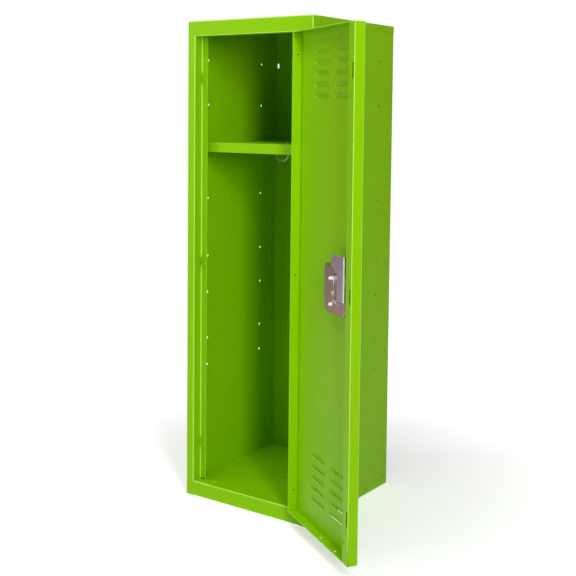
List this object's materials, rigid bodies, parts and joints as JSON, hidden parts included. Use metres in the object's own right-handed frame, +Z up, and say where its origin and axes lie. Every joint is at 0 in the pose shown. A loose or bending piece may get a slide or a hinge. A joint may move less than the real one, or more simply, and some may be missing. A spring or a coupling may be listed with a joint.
{
  "type": "school locker",
  "caption": "Tall single-tier locker of folded sheet steel with a louvered hinged door, lift-handle latch, hat shelf and coat hook; rests on its base or fixes to a wall.",
  "frame": {"origin": "middle of the cabinet's footprint, on the floor, midway between the two floor anchor holes", "axes": "+X to the hinge side, +Y to the back, +Z up; the door side faces -Y"},
  "size_m": [0.6324, 0.5852, 1.2192],
  "materials": {
    "green_enamel": "satin powder coat",
    "stainless": "brushed",
    "bright_plate": "bright zinc plate",
    "white_nylon": "moulded"
  },
  "bodies": {
    "cabinet": {"frame_jamb_left": "green_enamel", "frame_jamb_right": "green_enamel", "frame_header": "green_enamel", "frame_sill": "green_enamel", "side_panel_left": "green_enamel", "side_panel_right": "green_enamel", "back_panel": "green_enamel", "top_panel": "green_enamel", "floor_panel": "green_enamel", "shelf": "green_enamel", "catch_upper": "green_enamel", "catch_middle": "green_enamel", "catch_lower": "green_enamel", "hinge_frame_leaf_top": "green_enamel", "hinge_frame_leaf_middle": "green_enamel", "hinge_frame_leaf_bottom": "green_enamel", "hinge_pin_top": "green_enamel", "hinge_pin_middle": "green_enamel", "hinge_pin_bottom": "green_enamel", "back_rivets": "green_enamel", "top_rivets": "green_enamel", "shelf_rivets": "green_enamel", "floor_rivets": "green_enamel", "coat_hook": "bright_plate", "coat_hook_screws": "bright_plate", "coat_hook_nuts": "bright_plate"},
    "door": {"door_panel": "green_enamel", "hinge_door_leaf_top": "green_enamel", "hinge_door_leaf_middle": "green_enamel", "hinge_door_leaf_bottom": "green_enamel", "hinge_rivets": "green_enamel", "bar_guides": "green_enamel", "latch_cup": "stainless", "latch_cover": "stainless", "spring_clip": "stainless", "return_spring": "stainless"},
    "latch": {"lift_handle": "stainless", "latch_studs": "stainless", "stud_caps": "white_nylon", "latch_arm": "stainless", "latch_bar": "green_enamel"}
  },
  "joints": [
    {"name": "door_swing", "type": "hinge", "parent": "cabinet", "child": "door", "pos_m": [0.1655, -0.194, 0.61], "axis": [0, 0, 1], "range_deg": [-147.5, 27]},
    {"name": "handle_lift", "type": "slide", "parent": "door", "child": "latch", "axis": [0, 0, 1], "range_m": [0, 0.012], "stiffness_N_per_m": 150, "springref_m": -0.02}
  ]
}
